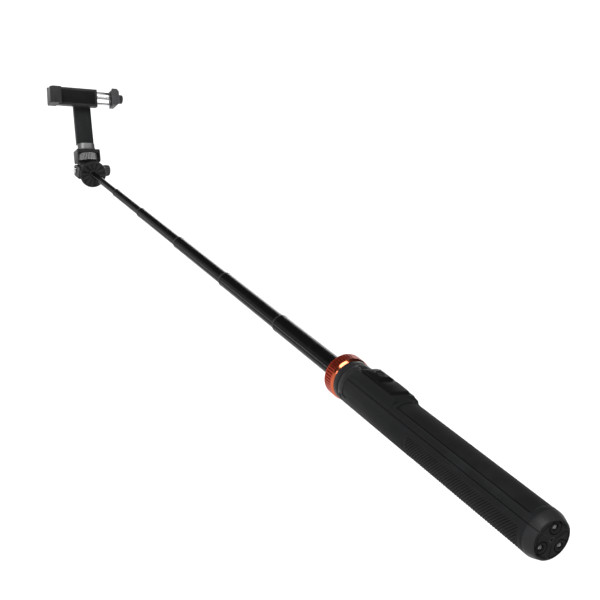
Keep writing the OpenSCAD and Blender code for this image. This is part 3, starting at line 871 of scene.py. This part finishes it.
def spoked_underside():
    """Height over the cap's face as a function of radius and angle: a rim, a hub and SPOKES ribs between
    them."""
    face = span("head_fork")[0]
    radius = 17.0
    hub = 5.2
    bore = 4.05
    pockets = np.linspace(hub + 0.3, 14.7, 10)
    r = np.concatenate([[bore, bore + 0.01, hub - 0.3, hub], pockets, [15.0, 16.5, radius]])
    angle = np.linspace(0, 2 * math.pi, SPOKES * 12, endpoint=False)[None, :]
    r = r[:, None]
    rib = ramp(np.abs((angle * SPOKES / (2 * math.pi)) % 1 - 0.5) * 2, 0.45, 0.7)
    rim = np.maximum(1 - ramp(r, hub - 0.1, hub + 0.3), ramp(r, 14.6, 15.1))
    rise = np.maximum(rim, rib * 0.85) - 1.1 * ramp(r, 16.4, radius)
    rise = np.where(r < bore + 0.005, 0, rise)
    front = face - 0.1 - 0.8 * rise
    points = np.stack([front + 0 * angle, r * np.cos(angle), r * np.sin(angle)], -1)
    back = np.stack([face + 0.3 + 0 * angle, radius * np.cos(angle), radius * np.sin(angle)], -1)
    inner = np.stack([face + 0.3 + 0 * angle, bore * np.cos(angle), bore * np.sin(angle)], -1)
    points = np.concatenate([points, back, inner])
    # Painted shade: the pockets between the spokes are darker than the spokes, the rim and the hub.
    deep = np.concatenate([1 - np.clip(rise + 0 * angle, 0, 1), 0 * back[..., 0], 0 * inner[..., 0]])
    return sharpen(
        grid_piece("cap_spokes", stick.place(points), "head_black", "section_6", "loop", {"painted_light": deep}), 50
    )


spoked_underside()
softened("head_fork", 0.45)
softened("tilt_bolt", 0.4, steps=3)


# %% Tilt knob and thumbwheel
def knob(name, node, seat, profile, ribs, depth, finish, body, band):
    """A turned knob whose grip is fluted by depth * (1/2 - 1/2 cos(ribs * angle))^2. band holds where the
    flutes start and end along the axis, and the radius that they stay outside."""

    def flutes(along, angle, reach):
        inside = ramp(along, band[0], band[0] + 0.5) * (1 - ramp(along, band[1] - 0.5, band[1]))
        return depth * (0.5 - 0.5 * np.cos(ribs * angle)) ** 2 * inside * (reach > band[2])

    # The flutes carry painted shade, darkest at their bottoms.
    piece = turned(
        name, profile, seat, finish, body, ribs * 8, flutes, "faces",
        {"painted_light": lambda along, angle, cut: cut / depth},
    )
    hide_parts(node)
    return sharpen(piece, 45)


tilt_profile = rounded(
    [
        (17.8, 2.6), (17.8, 5), (20.4, 5), (20.6, 7.2), (24.5, 7.4), (27.4, 6.7), (28, 5.6), (27.6, 4.2),
        (27.2, 3.8), (27.2, 0.1),
    ],
    0.4,
    3,
)
knob(
    "tilt_knob_fluted", "tilt_knob", knob_seat, tilt_profile, ribs=16, depth=0.75, finish="knob_grey",
    body="tilt_knob_body", band=(20.6, 27.6, 5.5),
)

WHEEL_RADIUS = 13.0
wheel_start = rounded([(7.6, 0.1), (7.6, 2), (11.9, 2), (11.9, 12.3), (12.6, WHEEL_RADIUS)], 0.4, 3)
wheel_rows = np.stack([np.linspace(12.7, 20.3, 8), np.full(8, WHEEL_RADIUS)], -1)
wheel_end = rounded([(20.4, WHEEL_RADIUS), (21.1, 12.3), (21.1, 3.25), (16, 3.25), (16, 0.1)], 0.4, 3)
wheel_profile = np.vstack([wheel_start, wheel_rows, wheel_end])
knob(
    "thumbwheel_knurled", "thumbwheel", wheel_seat, wheel_profile, ribs=36, depth=0.8, finish="wheel_grey",
    body="wheel", band=(12.2, 20.8, 10),
)
softened("tilt_block", 0.7, steps=3)
softened("neck", 0.5, steps=3)
softened("spine", 0.8, steps=3)
print("head: cap, fork, knob, wheel, cage and neck")

# %% [markdown]
# ## The clamp
# One jaw is part of the body and the other rides on two steel rods, drawn in by a screw. The housings are
# softened copies. The screw's thread is a ridge that climbs 4 mm a turn in two starts; it is drawn as a
# radius that depends on both the length and the angle, with no tooth to sweep along a helix.

# %% Clamp housings
for node, width, finish in (
    ("clamp_body", 1.0, "clamp_black"), ("clamp_cover", 0.6, "clamp_black"), ("moving_jaw", 1.1, "knob_grey")
):
    softened(node, width, finish, steps=3)
for node in ("back_pad", "fixed_pad", "moving_pad"):
    softened(node, 0.15)
softened("guide_rods", 0.3)
softened("pivot_rivet", 0.4)


# %% Lead screw and knob
THREAD_DEPTH = 0.38
KNOB_START = -4.0


def lead_screw():
    """Radius = 2 - THREAD_DEPTH * w(turns), with turns = starts * (along / lead - angle / 2 pi), and w a
    rounded tooth. The last mm is tapered."""
    lead, starts = 4.0, 2
    tip, end = -64.0, 2.0
    along = np.arange(tip, end, 0.2)[:, None]
    angle = np.linspace(0, 2 * math.pi, 24, endpoint=False)[None, :]
    phase = along / lead * starts - angle * starts / (2 * math.pi)
    tooth = ramp(np.abs(phase % 1 - 0.5) * 2, 0.35, 0.75)
    thread = 1 - ramp(along, -16, -15)
    taper = 0.5 * (1 - ramp(along, tip, tip + 0.8))
    radius = 2.0 - THREAD_DEPTH * tooth * thread - taper
    y, z = radius * np.cos(angle), radius * np.sin(angle)
    points = np.stack([np.broadcast_to(along, radius.shape), y, z], -1)
    # Painted shade at the bottom of the thread.
    deep = {"painted_light": tooth * thread}
    piece = grid_piece("threaded_screw", screw_seat.place(points), "steel", "jaw_screw", "faces", deep)
    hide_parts("lead_screw")


lead_screw()
knob_outline = np.array(
    [(0, 2.1), (0, 4), (1.6, 4), (1.8, 5.9), (6.7, 5.7), (7.3, 4.9), (7.3, 3.2), (6.9, 2.9), (6.9, 0.1)]
)
knob(
    "jaw_knob_fluted", "jaw_knob", screw_seat, rounded(knob_outline + (KNOB_START, 0), 0.4, 3), ribs=14,
    depth=0.55, finish="knob_grey", body="jaw_screw", band=(KNOB_START + 1.7, KNOB_START + 6.9, 4.5),
)
print("clamp: body, jaws, rods, screw and knob")

# %% [markdown]
# ## What the frame already draws well
# The parts inside, such as bushes, board and cell, keep the frame's own shape and only need their finish.

# %% Finishes on the frame's own nodes
kept = 0
for name, node in nodes.items():
    node.data.materials.clear()
    node.data.materials.append(palette[slot_of[name]])
    kept += not node.hide_render
print("kept CAD nodes:", kept)

# %% [markdown]
# ## The floor
# A plain pale floor far below, so that the stick seems to hang in white light with hardly a shadow. It tips
# up gently behind the stick, and far away it sweeps up all round like a studio's backdrop, so no horizon
# shows.

# %% Floor
FLOOR_DEPTH = 0.55
FLOOR_RISE = 0.07
SWEEP_START, SWEEP_END, SWEEP_HEIGHT = 9.0, 40.0, 10.0
ALONG_VIEW = (0.86, -0.51)


def backdrop():
    """Height = -depth + rise * (distance along the view) * (1 - s) + sweep height * s, where s is
    ((r - start) / (end - start))^2 outside the start and 0 inside it."""
    r = np.concatenate([[0.001, 3.0, 6.0], np.linspace(SWEEP_START, SWEEP_END, 16)])[:, None]
    turn = np.linspace(0, 2 * math.pi, 72, endpoint=False)[None, :]
    x, y = r * np.cos(turn), r * np.sin(turn)
    sweep = np.clip((r - SWEEP_START) / (SWEEP_END - SWEEP_START), 0, 1) ** 2
    along = x * ALONG_VIEW[0] + y * ALONG_VIEW[1]
    z = -FLOOR_DEPTH + FLOOR_RISE * along * (1 - sweep) + SWEEP_HEIGHT * sweep
    rows, columns = z.shape
    index = np.arange(rows * columns).reshape(rows, columns)
    beside = np.roll(index, -1, 1)
    faces = np.stack([index[:-1], index[1:], beside[1:], beside[:-1]], -1).reshape(-1, 4)
    mesh = bpy.data.meshes.new("floor")
    points = np.stack([x, y, z], -1).reshape(-1, 3)
    mesh.from_pydata(points.tolist(), [], faces.tolist() + [index[0].tolist()])
    mesh.shade_smooth()
    return mesh


floor_mesh = backdrop()
floor = bpy.data.objects.new("floor", floor_mesh)
bpy.context.scene.collection.objects.link(floor)
floor_mesh.materials.append(Paint("floor_white", Base_Color=(0.92, 0.92, 0.92), Roughness=0.9).material)
print("floor: a plain pale backdrop of", len(floor_mesh.polygons), "faces")
